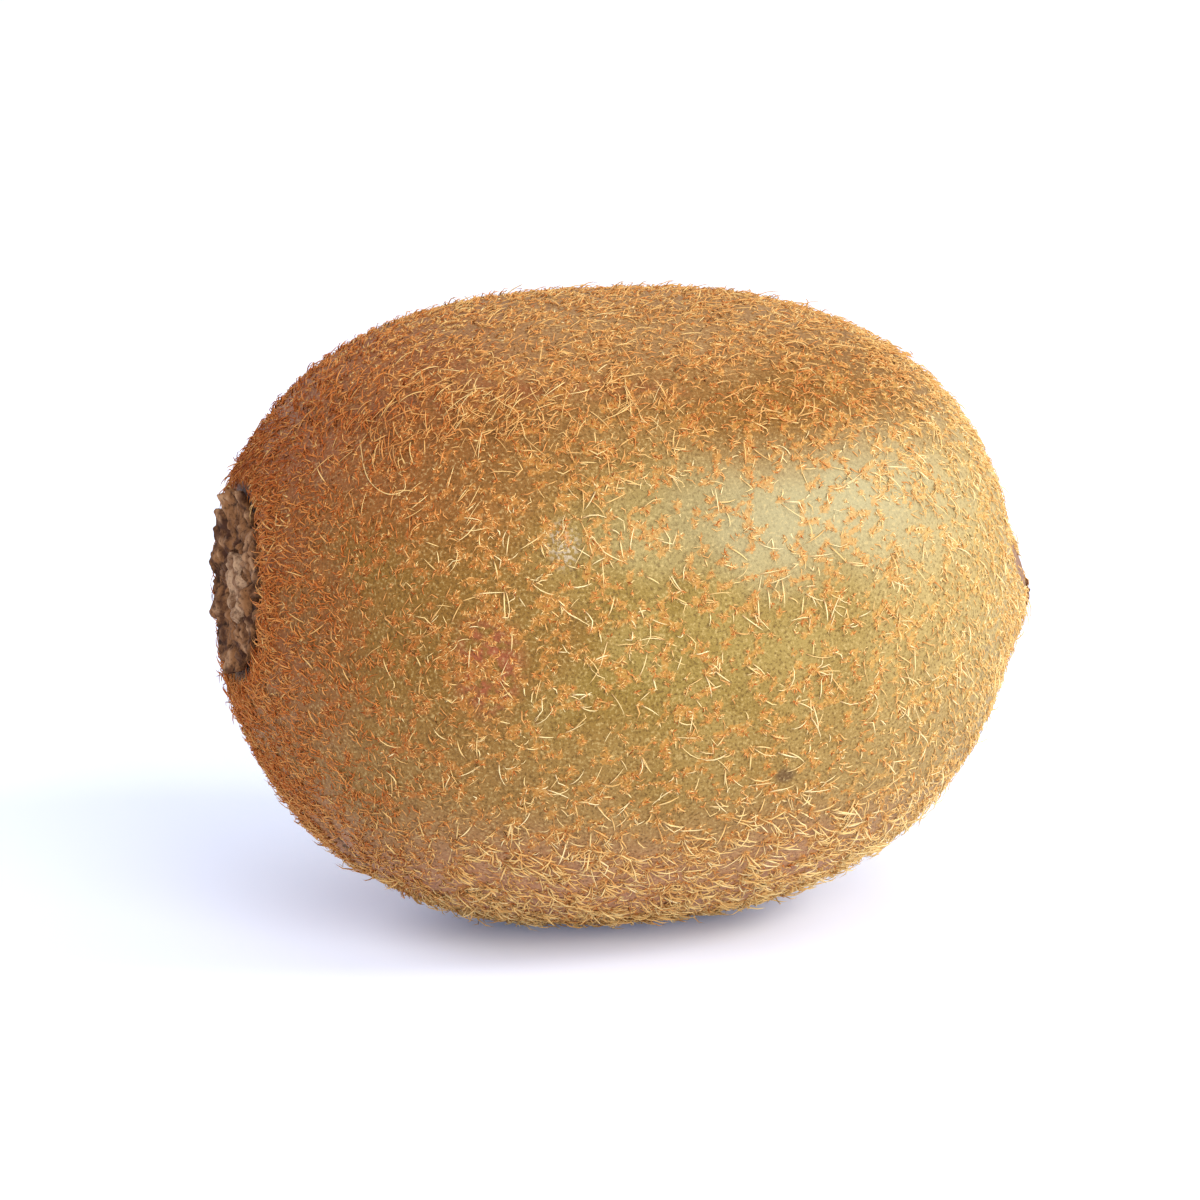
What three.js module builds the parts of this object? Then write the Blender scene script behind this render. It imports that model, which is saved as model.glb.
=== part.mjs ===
// A whole kiwi fruit lying on its side, in millimetres, with +Z up.
// Its long axis runs along X. The stem end, with the dried calyx, points to -X and the blossom end to +X.
// The origin is on the small flat spot that the fruit rests on, under its middle.
import * as THREE from "three";
import { mergeVertices } from "three/addons/utils/BufferGeometryUtils.js";

// Body: half axes, and superellipse exponents where 2 is a plain ellipse and more is blunter
const STEM_HALF_LENGTH = 30.1;
const BLOSSOM_HALF_LENGTH = 32.2;
const HALF_WIDTH = 26.3;
const HALF_HEIGHT = 24.8;
const STEM_BLUNTNESS = 2.4;
const BLOSSOM_BLUNTNESS = 2.4;
const SECTION_BLUNTNESS = 2.2;
const FLAT_SPOT_DEPTH = 0.35;
const CENTRE_HEIGHT = HALF_HEIGHT - FLAT_SPOT_DEPTH;

// How far each end sits above the level of the middle
const STEM_LIFT = 1.2;
const BLOSSOM_LIFT = 1.9;

// The belly is pressed a little flatter under the fruit's weight
const PRESS_DEPTH = 0.45;
const PRESS_X = 1;
const PRESS_RADIUS = 12;

// Shallow lumps: waves along the fruit, times the sum of two slanted sets of waves round it
const LUMP_HEIGHT = 0.3;
const LUMP_LENGTH = 8;
const LUMP_PHASE_ALONG = 1.3;
const LUMP_PHASE_ROUND = 0.5;
const LUMP_SLANT_UP = 0.7;
const LUMP_SLANT_DOWN = 0.6;

// Low ridge along the upper front shoulder
const RIDGE_HEIGHT = 0.45;
const RIDGE_ROLL = THREE.MathUtils.degToRad(54);
const RIDGE_HALF_ROLL = THREE.MathUtils.degToRad(8);
const RIDGE_FADES_FROM = 17;
const RIDGE_FADES_TO = 27;

// Dish at the stem end, with its raised rim, and button at the blossom end
const STEM_OFFSET = { y: 0.4, z: 1.9 };
const DISH_DEPTH = 2.0;
const DISH_RADIUS = 7.6;
const DISH_STEEPNESS = 6;
const RIM_HEIGHT = 0.35;
const RIM_RADIUS = 9.6;
const RIM_WIDTH = 2.4;
const BUTTON_OFFSET = { y: 0.2, z: -3.4 };
const BUTTON_HEIGHT = 3.3;
const BUTTON_RADIUS = 6.8;
const BUTTON_STEEPNESS = 2;

// Coarse hairs, grown out of the skin
const SKIN_DETAIL = 13;
const END_CROWDING = 0.16;
const HAIRS = 900;
const HAIR_LENGTH = 2.2;
const HAIR_LENGTH_VARIES = 0.2;
const HAIR_ROOT = 0.56;
const HAIR_LEAN = THREE.MathUtils.degToRad(62);
const HAIR_SPREAD = 0.5;
const HAIR_SWEEP_LENGTH = 12;
const HAIR_CLEAR_OF_FLOOR = 0.5;
const HAIR_CLEAR_OF_CALYX = 8.6;
const HAIR_CLEAR_OF_STYLES = 2.6;

// Dried calyx: five sepals joined round the stub of the stalk
const GAP = 0.35;
const SEPALS = 5;
const CALYX_HOLE = 3.1;
const CALYX_WAIST = 4.6;
const CALYX_RADIUS = 6.7;
const SEPAL_ROOT_THICKNESS = 1.0;
const SEPAL_TIP_THICKNESS = 0.65;
const SEPAL_LOBE_POWER = 0.7;
const SEPAL_CURL = 0.4;
const SEPAL_CURL_POWER = 3;
const CURL_WAVES = [{ waves: 2, size: 0.5, phase: 0.6 }, { waves: 9, size: 0.3, phase: 0 }];
const EDGE_TEARS = [{ waves: 13, size: 0.22, phase: 1 }, { waves: 23, size: 0.18, phase: 0 }];
const CALYX_STEPS = 70;
const CALYX_RINGS = 5;

// Dry stub of the stalk: outline of half its section, as [radius, height]
const STUB_SECTION = [
  [0, 0], [2.5, 0], [2.7, 0.5], [2.5, 1.15], [2.0, 1.2], [1.5, 0.8], [0.8, 0.7], [0.35, 1.0], [0, 1.05],
];
const STUB_STEPS = 30;
const STUB_BENT = [{ waves: 3, size: 0.07, phase: 0.4 }];

// Dried styles: outline of half their section, drawn out into points round the edge
const STYLE_SECTION = [[0, 0], [0.9, 0], [1.1, 0.25], [0.9, 0.5], [0.6, 0.65], [0.3, 0.55], [0, 0.5]];
const STYLE_POINTS = [{ waves: 7, size: 0.35, phase: Math.PI / 2 }];
const STYLE_STEPS = 42;

const SEED = 20;
const SAME_POINT = 1e-4;

// Repeatable random numbers from 0 to 1.
function seeded(seed) {
  let state = seed;
  return () => {
    state = (state + 0x6d2b79f5) | 0;
    let mixed = Math.imul(state ^ (state >>> 15), 1 | state);
    mixed = (mixed + Math.imul(mixed ^ (mixed >>> 7), 61 | mixed)) ^ mixed;
    return ((mixed ^ (mixed >>> 14)) >>> 0) / 4294967296;
  };
}

function bell(value, width, steepness = 2) {
  return Math.exp(-((Math.abs(value) / width) ** steepness));
}

// The sum of waves that close on themselves round a full turn.
function wavesRound(list, turn) {
  return list.reduce((sum, { waves, size, phase }) => sum + size * Math.sin(waves * turn + phase), 0);
}

// How far a place in the cross-section is from the long axis: 1 is the widest outline.
function sectionShare(y, z) {
  const wide = Math.abs(y / HALF_WIDTH) ** SECTION_BLUNTNESS;
  const high = Math.abs(z / HALF_HEIGHT) ** SECTION_BLUNTNESS;
  return (wide + high) ** (1 / SECTION_BLUNTNESS);
}

// The plain oval body's point in a direction from its centre.
function ovalPoint(direction) {
  const stemward = direction.x < 0;
  const halfLength = stemward ? STEM_HALF_LENGTH : BLOSSOM_HALF_LENGTH;
  const bluntness = stemward ? STEM_BLUNTNESS : BLOSSOM_BLUNTNESS;
  const along = Math.abs(direction.x / halfLength) ** bluntness;
  const across = sectionShare(direction.y, direction.z) ** bluntness;
  return direction.clone().multiplyScalar((along + across) ** (-1 / bluntness));
}

// How far the skin swells out of the plain oval.
function swelling(p) {
  const alongWave = Math.sin(p.x / LUMP_LENGTH + LUMP_PHASE_ALONG);
  const upWave = Math.sin((p.y + LUMP_SLANT_UP * p.z) / LUMP_LENGTH + LUMP_PHASE_ROUND);
  const downWave = Math.sin((p.z - LUMP_SLANT_DOWN * p.y) / LUMP_LENGTH);
  const lump = (LUMP_HEIGHT / 2) * alongWave * (upWave + downWave) * sectionShare(p.y, p.z);
  const roll = Math.atan2(p.z, -p.y);
  const fade = 1 - THREE.MathUtils.smoothstep(Math.abs(p.x), RIDGE_FADES_FROM, RIDGE_FADES_TO);
  const ridge = RIDGE_HEIGHT * bell(roll - RIDGE_ROLL, RIDGE_HALF_ROLL) * fade;
  return lump + ridge;
}

// How far along X the ends depart from the oval, with the dish hollow and the rim and button proud.
function stemRelief(y, z) {
  const off = Math.hypot(y - STEM_OFFSET.y, z - STEM_OFFSET.z);
  return DISH_DEPTH * bell(off, DISH_RADIUS, DISH_STEEPNESS) - RIM_HEIGHT * bell(off - RIM_RADIUS, RIM_WIDTH);
}

function buttonRelief(y, z) {
  const off = Math.hypot(y - BUTTON_OFFSET.y, z - BUTTON_OFFSET.z);
  return BUTTON_HEIGHT * bell(off, BUTTON_RADIUS, BUTTON_STEEPNESS);
}

// X of the skin at either end, for what lies on it.
function dishFloor(y, z) {
  const oval = (1 - sectionShare(y, z) ** STEM_BLUNTNESS) ** (1 / STEM_BLUNTNESS);
  return -STEM_HALF_LENGTH * oval + stemRelief(y, z);
}

function buttonTop(y, z) {
  const oval = (1 - sectionShare(y, z) ** BLOSSOM_BLUNTNESS) ** (1 / BLOSSOM_BLUNTNESS);
  return BLOSSOM_HALF_LENGTH * oval + buttonRelief(y, z);
}

// Lifts a point of the body to where it lies above the table.
function raise(p) {
  const [endLift, halfLength] = p.x < 0 ? [STEM_LIFT, STEM_HALF_LENGTH] : [BLOSSOM_LIFT, BLOSSOM_HALF_LENGTH];
  p.z += endLift * (p.x / halfLength) ** 2 + CENTRE_HEIGHT;
  return p;
}

function skinPoint(direction) {
  const p = ovalPoint(direction);
  p.addScaledVector(direction, swelling(p));
  p.x += p.x < 0 ? stemRelief(p.y, p.z) : buttonRelief(p.y, p.z);
  raise(p);
  if (p.z < CENTRE_HEIGHT) p.z -= PRESS_DEPTH * bell(Math.hypot(p.x - PRESS_X, p.y), PRESS_RADIUS);
  p.z = Math.max(p.z, 0);
  return p;
}

// Directions spread evenly over a ball, a little closer together at both ends of the fruit.
function skinDirections() {
  const ball = new THREE.IcosahedronGeometry(1, SKIN_DETAIL);
  ball.deleteAttribute("normal");
  ball.deleteAttribute("uv");
  const merged = mergeVertices(ball, SAME_POINT);
  const place = merged.getAttribute("position");
  const directions = [];
  for (let i = 0; i < place.count; i++) {
    const v = new THREE.Vector3().fromBufferAttribute(place, i).normalize();
    const angle = Math.acos(THREE.MathUtils.clamp(v.x, -1, 1));
    const moved = angle - END_CROWDING * Math.sin(2 * angle);
    const across = Math.hypot(v.y, v.z) || 1;
    v.set(Math.cos(moved), (v.y * Math.sin(moved)) / across, (v.z * Math.sin(moved)) / across);
    v.set(v.x * STEM_HALF_LENGTH, v.y * HALF_WIDTH, v.z * HALF_HEIGHT).normalize();
    directions.push(v);
  }
  return { directions, index: Array.from(merged.index.array) };
}

function shuffled(list, random) {
  const out = [...list];
  for (let i = out.length - 1; i > 0; i--) {
    const j = Math.floor(random() * (i + 1));
    [out[i], out[j]] = [out[j], out[i]];
  }
  return out;
}

// True where a coarse hair may grow: not on the flat spot, in the dish or on the styles' seat.
function growsHair(root, tip) {
  const lower = root.z - CENTRE_HEIGHT;
  const fromCalyx = Math.hypot(root.y - STEM_OFFSET.y, lower - STEM_LIFT - STEM_OFFSET.z);
  const fromStyles = Math.hypot(root.y - BUTTON_OFFSET.y, lower - BLOSSOM_LIFT - BUTTON_OFFSET.z);
  if (root.x < 0 && fromCalyx < HAIR_CLEAR_OF_CALYX) return false;
  if (root.x > 0 && fromStyles < HAIR_CLEAR_OF_STYLES) return false;
  return Math.min(root.z, tip.z) > HAIR_CLEAR_OF_FLOOR;
}

// The way a hair leans: away from the stem end, swept to one side and the other in slow waves.
function hairTip(root, normal, random) {
  const alongFruit = new THREE.Vector3(1, 0, 0).addScaledVector(normal, -normal.x).normalize();
  const wave = Math.sin((root.x + root.y) / HAIR_SWEEP_LENGTH);
  const lean = alongFruit.applyAxisAngle(normal, wave + HAIR_SPREAD * (random() - 0.5));
  const length = HAIR_LENGTH * (1 + HAIR_LENGTH_VARIES * (2 * random() - 1));
  return root
    .clone()
    .addScaledVector(normal, length * Math.cos(HAIR_LEAN))
    .addScaledVector(lean, length * Math.sin(HAIR_LEAN));
}

// Turns chosen triangles of the skin into three-sided hairs, no two of them on triangles that share an edge.
function withHairs(points, index) {
  const random = seeded(SEED);
  const triangles = [];
  for (let i = 0; i < index.length; i += 3) triangles.push([index[i], index[i + 1], index[i + 2]]);
  const taken = new Set();
  const faces = [];
  let hairs = 0;
  for (const corners of shuffled(triangles, random)) {
    const [a, b, c] = corners.map((i) => points[i]);
    const root = new THREE.Vector3().add(a).add(b).add(c).divideScalar(3);
    const normal = new THREE.Triangle(a, b, c).getNormal(new THREE.Vector3());
    const tip = hairTip(root, normal, random);
    const edges = corners.map((i, n) => [i, corners[(n + 1) % 3]].sort().join());
    if (hairs === HAIRS || edges.some((edge) => taken.has(edge)) || !growsHair(root, tip)) {
      faces.push(...corners);
      continue;
    }
    hairs += 1;
    edges.forEach((edge) => taken.add(edge));
    const share = HAIR_ROOT / a.distanceTo(b);
    const first = points.length;
    points.push(...[a, b, c].map((corner) => root.clone().lerp(corner, share)), tip);
    for (let i = 0; i < 3; i++) {
      const j = (i + 1) % 3;
      faces.push(corners[i], corners[j], first + j, corners[i], first + j, first + i);
      faces.push(first + i, first + j, first + 3);
    }
  }
  return faces;
}

function solidFrom(points, faces) {
  const geometry = new THREE.BufferGeometry().setFromPoints(points);
  geometry.setIndex(faces);
  geometry.computeVertexNormals();
  return geometry;
}

function fruitGeometry() {
  const { directions, index } = skinDirections();
  const points = directions.map(skinPoint);
  const faces = withHairs(points, index);
  return solidFrom(points, faces);
}

// How far the calyx reaches from its middle at each turn: a lobe for each sepal, with a torn edge.
function sepalReach(turn) {
  const lobe = Math.abs(Math.cos((SEPALS * turn) / 2)) ** SEPAL_LOBE_POWER;
  return CALYX_WAIST + (CALYX_RADIUS - CALYX_WAIST) * lobe + wavesRound(EDGE_TEARS, turn);
}

// One point of a sepal: share runs from the hole, 0, to the tip, 1.
function sepalPoint(turn, share, onTop) {
  const reach = CALYX_HOLE + (sepalReach(turn) - CALYX_HOLE) * share;
  const y = STEM_OFFSET.y + reach * Math.cos(turn);
  const z = STEM_OFFSET.z + reach * Math.sin(turn);
  const curl = SEPAL_CURL * (1 + wavesRound(CURL_WAVES, turn)) * share ** SEPAL_CURL_POWER;
  const thickness = THREE.MathUtils.lerp(SEPAL_ROOT_THICKNESS, SEPAL_TIP_THICKNESS, share);
  return raise(new THREE.Vector3(dishFloor(y, z) - GAP - curl - (onTop ? thickness : 0), y, z));
}

function calyxGeometry() {
  const points = [];
  const faces = [];
  const loop = 2 * CALYX_RINGS;
  for (let i = 0; i < CALYX_STEPS; i++) {
    const turn = (2 * Math.PI * i) / CALYX_STEPS;
    for (let j = 0; j < CALYX_RINGS; j++) points.push(sepalPoint(turn, j / (CALYX_RINGS - 1), true));
    for (let j = CALYX_RINGS - 1; j >= 0; j--) points.push(sepalPoint(turn, j / (CALYX_RINGS - 1), false));
    const here = i * loop;
    const next = ((i + 1) % CALYX_STEPS) * loop;
    for (let j = 0; j < loop; j++) {
      const k = (j + 1) % loop;
      faces.push(here + j, next + j, next + k, here + j, next + k, here + k);
    }
  }
  return solidFrom(points, faces);
}

// A turned solid with its axis along Y, drawn in and out by waves round it.
function turnedGeometry(section, steps, waveList) {
  const outline = section.map(([radius, height]) => new THREE.Vector2(radius, height));
  const turned = new THREE.LatheGeometry(outline, steps);
  turned.deleteAttribute("normal");
  turned.deleteAttribute("uv");
  const geometry = mergeVertices(turned, SAME_POINT);
  const place = geometry.getAttribute("position");
  for (let i = 0; i < place.count; i++) {
    const [x, y, z] = [place.getX(i), place.getY(i), place.getZ(i)];
    const factor = 1 + wavesRound(waveList, Math.atan2(z, x));
    place.setXYZ(i, x * factor, y, z * factor);
  }
  return geometry;
}

function mesh(name, geometry, colour, roughness) {
  const material = new THREE.MeshStandardMaterial({ color: colour, roughness, metalness: 0 });
  const made = new THREE.Mesh(geometry, material);
  made.name = name;
  return made;
}

function placeOnFruit(piece, x, offset, turn) {
  piece.position.copy(raise(new THREE.Vector3(x, offset.y, offset.z)));
  piece.rotation.z = turn;
}

function kiwi() {
  const fruit = mesh("fruit", fruitGeometry(), 0xa57f45, 0.85);
  const calyx = mesh("calyx", calyxGeometry(), 0x5b4029, 0.95);
  const stubShape = turnedGeometry(STUB_SECTION, STUB_STEPS, STUB_BENT);
  const stub = mesh("stalk_stub", stubShape, 0xa98a6c, 0.95);
  placeOnFruit(stub, dishFloor(STEM_OFFSET.y, STEM_OFFSET.z) - GAP, STEM_OFFSET, Math.PI / 2);
  const styleShape = turnedGeometry(STYLE_SECTION, STYLE_STEPS, STYLE_POINTS);
  const styles = mesh("dried_styles", styleShape, 0x4a3426, 0.95);
  placeOnFruit(styles, buttonTop(BUTTON_OFFSET.y, BUTTON_OFFSET.z) + GAP, BUTTON_OFFSET, -Math.PI / 2);
  const group = new THREE.Group();
  group.add(fruit, calyx, stub, styles);
  return group;
}

export default kiwi();
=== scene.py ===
import bpy
import numpy as np
from mathutils import Matrix, Vector, kdtree, noise


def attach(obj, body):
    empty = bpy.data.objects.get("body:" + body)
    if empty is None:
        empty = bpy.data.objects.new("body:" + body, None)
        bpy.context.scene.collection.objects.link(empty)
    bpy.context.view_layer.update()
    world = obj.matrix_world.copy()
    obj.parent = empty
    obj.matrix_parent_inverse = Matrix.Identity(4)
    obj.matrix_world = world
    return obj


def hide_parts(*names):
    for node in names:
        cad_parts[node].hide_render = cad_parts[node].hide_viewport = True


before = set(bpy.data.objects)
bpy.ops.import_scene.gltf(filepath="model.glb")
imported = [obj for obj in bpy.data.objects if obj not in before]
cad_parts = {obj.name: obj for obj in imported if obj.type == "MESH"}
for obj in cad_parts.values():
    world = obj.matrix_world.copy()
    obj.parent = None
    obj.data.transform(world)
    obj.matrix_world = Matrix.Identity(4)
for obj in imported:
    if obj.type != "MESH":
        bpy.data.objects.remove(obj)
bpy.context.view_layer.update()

MM = 0.001
TURN = 2 * np.pi

# Body, with the same driving dimensions as the solids
STEM_HALF_LENGTH = 30.1
BLOSSOM_HALF_LENGTH = 32.2
HALF_WIDTH = 26.3
HALF_HEIGHT = 24.8
STEM_BLUNTNESS = 2.4
BLOSSOM_BLUNTNESS = 2.4
SECTION_BLUNTNESS = 2.2
FLAT_SPOT_DEPTH = 0.35
CENTRE_HEIGHT = HALF_HEIGHT - FLAT_SPOT_DEPTH
STEM_LIFT = 1.2
BLOSSOM_LIFT = 1.9
PRESS_DEPTH = 0.45
PRESS_X = 1
PRESS_RADIUS = 12

# Shallow lumps, and the low ridge along the upper front shoulder
LUMP_HEIGHT = 0.3
LUMP_LENGTH = 8
LUMP_PHASE_ALONG = 1.3
LUMP_PHASE_ROUND = 0.5
LUMP_SLANT_UP = 0.7
LUMP_SLANT_DOWN = 0.6
RIDGE_HEIGHT = 0.45
RIDGE_ROLL = np.radians(54)
RIDGE_HALF_ROLL = np.radians(8)
RIDGE_FADES_FROM = 17
RIDGE_FADES_TO = 27

# Dish at the stem end, with its raised rim, and button at the blossom end
STEM_OFFSET = (0.4, 1.9)
STEM_AXIS_HEIGHT = CENTRE_HEIGHT + STEM_LIFT + STEM_OFFSET[1]
STEM_AXIS = ((-40.0, STEM_OFFSET[0], STEM_AXIS_HEIGHT), (0.0, STEM_OFFSET[0], STEM_AXIS_HEIGHT))
DISH_DEPTH = 2.0
DISH_RADIUS = 7.6
DISH_STEEPNESS = 6
RIM_HEIGHT = 0.35
RIM_RADIUS = 9.6
RIM_WIDTH = 2.4
BUTTON_OFFSET = (0.2, -3.4)
BUTTON_HEIGHT = 3.3
BUTTON_RADIUS = 6.8
BUTTON_STEEPNESS = 2

# Skin mesh, the (size, height) of each kind of unevenness on it, and the margin of its map at each pole
SKIN_RINGS = 196
SKIN_COLUMNS = 360
PEBBLES = ((1.9, 0.05), (0.8, 0.035))
POLE_MARGIN = 0.01

# The crease below the ridge: its height falls away towards both ends, and it fades out over a few millimetres
CREASE_TOP = 45.2
CREASE_TOP_X = -6.0
CREASE_FALL = 0.011
CREASE_FROM = -26.0
CREASE_TO = 0.0
CREASE_DEPTH = 0.3
CREASE_HALF_WIDTH = 0.8
CREASE_SUNK = 0.9

# Patches on the front of the skin: the middle of each and its half sizes, along the fruit and up it.
# The sheen is a pale, smooth painted highlight, the patch under the crease is painted shade, the bands are
# darker, and the bruise has closer, redder clumps.
SHEEN = ((12.0, 36.2), (12.0, 4.4))
DARK_BAND = ((12.0, 43.6), (15.0, 3.4))
DARK_BAND_HAIRS = ((11.0, 43.6), (13.0, 2.6))
SHADE_UNDER_CREASE = ((-13.5, 41.5), (9.0, 3.2))
BRUISE = ((-15.3, 25.8), (2.3, 3.8))
SCUFF = ((-9.4, 34.8), (1.1, 1.5))
SPOT = ((7.8, 16.0), (0.8, 0.6))

# A short slit low on the front, near the stem end, with painted shade in it, and a browner mark above the
# point of the blossom end
SLIT = ((-24.7, -8.2, 9.9), (-21.4, -7.8, 6.5))
SLIT_DEPTH = 0.6
SLIT_HALF_WIDTH = 0.6
TIP_MARK = ((30.9, -8.0, 31.8), (34.4, -3.0, 25.4))

# How far from the stalk, the tip and the slit no hairs grow, and how near to the mark few do. A place
# belongs to one of the two ends when it is further than END_REGION along the axis.
BARE_DISH = 7.9
BARE_DISH_FAR_SIDE = 1.0
BARE_TIP = 2.0
BARE_SLIT = 1.1
THIN_MARK = 1.5
THIN_MARK_SHARE = 0.15
END_REGION = 20

# Single long hairs that curl away from the rest, above the stem end: the points that they pass through
STRAY_HAIRS = (
    ((-22.3, -11.7, 41.2), (-22.6, -14.6, 38.7), (-21.5, -17.0, 37.8),
     (-20.1, -17.9, 38.3), (-20.1, -17.2, 39.1)),
    ((-19.5, -15.0, 40.5), (-20.5, -17.2, 38.0), (-20.2, -18.9, 35.6),
     (-18.6, -20.0, 34.6), (-16.8, -20.6, 34.9)),
    ((-24.5, -10.6, 36.0), (-24.2, -12.6, 34.2), (-24.6, -13.0, 32.2)),
)

# Hairs, the clumps of very short ones on low pads of the skin, and the tufts of longer ones in some clumps
CLUMPS = 12000
CLUMP_RADIUS = (0.18, 0.42)
PAD_HEIGHT = 0.1
TUFT_SHARE = 0.5
TUFT_FAN = 0.6
TUFT_RADIUS = 0.6
PATCH_SIZE = 2.2
HAIR_SIDES = 3
HAIR_SUNK = 0.12
HAIR_ABOVE_FLOOR = 0.1
TONE_STEP = 0.006
SEED = 7

# Calyx, stub and styles
GAP = 0.35
SEPALS = 5
CALYX_HOLE = 3.1
CALYX_WAIST = 4.6
CALYX_RADIUS = 6.7
CALYX_FAR_SIDE = 7.9
SEPAL_THICKNESS = 0.95
SEPAL_EDGE = 0.35
KNOB_HEIGHT = 0.95
SEPAL_MAP_TOP = 0.95
SEPAL_SEAM_FROM = 0.96
STUB_ROUGHNESS = 0.22
KNOT_ROUGHNESS = 0.08
KNOT_LIFT = 0.15
STYLE_THREADS = 26

# Table: it lies a little below the flat spot, so that the two don't flicker, and it glows less near a line, a
# painted contact shadow beside the fruit
FLOOR_HALF_SIZE = 3000.0
FLOOR_DROP = 0.02
FLOOR_GLOW = 0.38
SHADE = ((-9.0, -8.0, 0.0), (4.0, -8.0, 0.0))
SHADE_FROM = 13.5
SHADE_TO = 2.0

# Camera: where it stands round the fruit, and the width that it sees at the fruit's middle
CAMERA_AZIMUTH = np.radians(-15)
CAMERA_ELEVATION = np.radians(13)
CAMERA_DISTANCE = 450.0
VIEW_WIDTH = 96.0
AIM_RIGHT = -0.18
AIM_UP = 0.25

# How far the lights are from the fruit
LIGHT_DISTANCE = 900

rng = np.random.default_rng(SEED)


def bell(value, width, steepness=2.0):
    return np.exp(-((np.abs(value) / width) ** steepness))


def ramp(value, start, end):
    """0 before start, 1 after end and a smooth rise between them."""
    t = np.clip((value - start) / (end - start), 0, 1)
    return t * t * (3 - 2 * t)


def unit(vectors):
    return vectors / np.maximum(np.linalg.norm(vectors, axis=-1, keepdims=True), 1e-12)


def section_share(y, z):
    """How far a place in the cross-section is from the long axis: 1 is the widest outline."""
    wide = np.abs(y / HALF_WIDTH) ** SECTION_BLUNTNESS
    high = np.abs(z / HALF_HEIGHT) ** SECTION_BLUNTNESS
    return (wide + high) ** (1 / SECTION_BLUNTNESS)


def oval_points(directions):
    x, y, z = directions.T
    stemward = x < 0
    half_length = np.where(stemward, STEM_HALF_LENGTH, BLOSSOM_HALF_LENGTH)
    bluntness = np.where(stemward, STEM_BLUNTNESS, BLOSSOM_BLUNTNESS)
    reach = np.abs(x / half_length) ** bluntness + section_share(y, z) ** bluntness
    return directions * (reach ** (-1 / bluntness))[:, None]


def swelling(p):
    """How far the skin swells out of the plain oval: the lumps and the ridge."""
    x, y, z = p.T
    along = np.sin(x / LUMP_LENGTH + LUMP_PHASE_ALONG)
    up = np.sin((y + LUMP_SLANT_UP * z) / LUMP_LENGTH + LUMP_PHASE_ROUND)
    down = np.sin((z - LUMP_SLANT_DOWN * y) / LUMP_LENGTH)
    lump = LUMP_HEIGHT / 2 * along * (up + down) * section_share(y, z)
    fade = 1 - ramp(np.abs(x), RIDGE_FADES_FROM, RIDGE_FADES_TO)
    return lump + RIDGE_HEIGHT * bell(np.arctan2(z, -y) - RIDGE_ROLL, RIDGE_HALF_ROLL) * fade


def stem_relief(y, z):
    off = np.hypot(y - STEM_OFFSET[0], z - STEM_OFFSET[1])
    dish = DISH_DEPTH * bell(off, DISH_RADIUS, DISH_STEEPNESS)
    return dish - RIM_HEIGHT * bell(off - RIM_RADIUS, RIM_WIDTH)


def button_relief(y, z):
    off = np.hypot(y - BUTTON_OFFSET[0], z - BUTTON_OFFSET[1])
    return BUTTON_HEIGHT * bell(off, BUTTON_RADIUS, BUTTON_STEEPNESS)


def raised(p):
    """Points of the body, lifted to where they lie above the table."""
    x = p[:, 0]
    stem = STEM_LIFT * (x / STEM_HALF_LENGTH) ** 2
    blossom = BLOSSOM_LIFT * (x / BLOSSOM_HALF_LENGTH) ** 2
    return p + np.outer(np.where(x < 0, stem, blossom) + CENTRE_HEIGHT, (0, 0, 1))


def skin_points(directions):
    p = oval_points(directions)
    p = p + directions * swelling(p)[:, None]
    x, y, z = p.T
    p[:, 0] += np.where(x < 0, stem_relief(y, z), button_relief(y, z))
    p = raised(p)
    x, y, z = p.T
    p[:, 2] -= np.where(z < CENTRE_HEIGHT, PRESS_DEPTH * bell(np.hypot(x - PRESS_X, y), PRESS_RADIUS), 0)
    return p


def dish_floor(y, z):
    oval = (1 - section_share(y, z) ** STEM_BLUNTNESS) ** (1 / STEM_BLUNTNESS)
    return -STEM_HALF_LENGTH * oval + stem_relief(y, z)


def button_top(y, z):
    oval = (1 - section_share(y, z) ** BLOSSOM_BLUNTNESS) ** (1 / BLOSSOM_BLUNTNESS)
    return BLOSSOM_HALF_LENGTH * oval + button_relief(y, z)


def crease_height(x):
    return CREASE_TOP - CREASE_FALL * (x - CREASE_TOP_X) ** 2


def crease_share(x, y, z):
    """1 along the bottom of the crease, and 0 away from it."""
    run = ramp(x, CREASE_FROM, CREASE_FROM + 5) * (1 - ramp(x, CREASE_TO, CREASE_TO + 4)) * (y < 0)
    return run * bell(z - crease_height(x) + CREASE_SUNK, CREASE_HALF_WIDTH)


def noise_at(points, size):
    return np.array([noise.noise(Vector(p)) for p in (points / size).tolist()])


def make_object(name, points, faces, face_uvs=None):
    """A mesh object in metres. face_uvs holds one (u, v) for each corner of each face, in order."""
    mesh = bpy.data.meshes.new(name)
    mesh.from_pydata((points * MM).tolist(), [], faces.tolist() if hasattr(faces, "tolist") else faces)
    mesh.polygons.foreach_set("use_smooth", np.ones(len(mesh.polygons), dtype=bool))
    if face_uvs is not None:
        layer = mesh.uv_layers.new(name="OFBake")
        layer.data.foreach_set("uv", np.asarray(face_uvs, dtype=np.float32).ravel())
    mesh.update()
    made = bpy.data.objects.new(name, mesh)
    bpy.context.scene.collection.objects.link(made)
    return made


def keep_values(piece, name, values):
    """Stores one value at each point of a mesh, for its material to read."""
    layer = piece.data.attributes.new(name, "FLOAT", "POINT")
    layer.data.foreach_set("value", np.asarray(values, dtype=np.float32))


def belongs(piece, material, slot, *nodes):
    """Gives a piece its material, hangs it on the root body and hides the CAD nodes that it stands for. slot
    is not used.
    """
    piece.data.materials.append(material)
    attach(piece, "root")
    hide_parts(*nodes)
    return piece


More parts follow.
